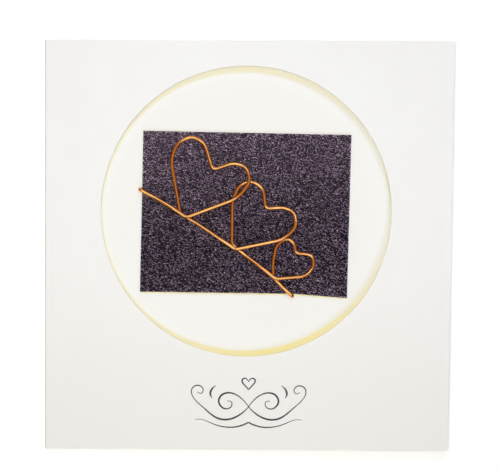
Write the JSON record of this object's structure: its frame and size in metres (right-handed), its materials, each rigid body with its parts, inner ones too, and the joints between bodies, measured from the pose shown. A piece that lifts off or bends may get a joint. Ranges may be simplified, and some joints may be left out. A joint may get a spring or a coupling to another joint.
{
  "type": "greeting card",
  "caption": "Square folded card with a round window over a leather patch and bent copper wire hearts.",
  "frame": {"origin": "on the surface the card lies on, under the middle of its outline", "axes": "+X from the fold to the fore-edge, +Y to the top of the card, +Z out of the front"},
  "size_m": [0.1406, 0.1408, 0.0048],
  "materials": {
    "card_paper": "smooth matte white card",
    "pebbled_leather": "pebbled, satin, plum black",
    "bright_copper": "bright drawn copper wire"
  },
  "bodies": {
    "root": {"card": "card_paper", "leather_patch": "pebbled_leather", "copper_wire": "bright_copper"}
  },
  "joints": []
}
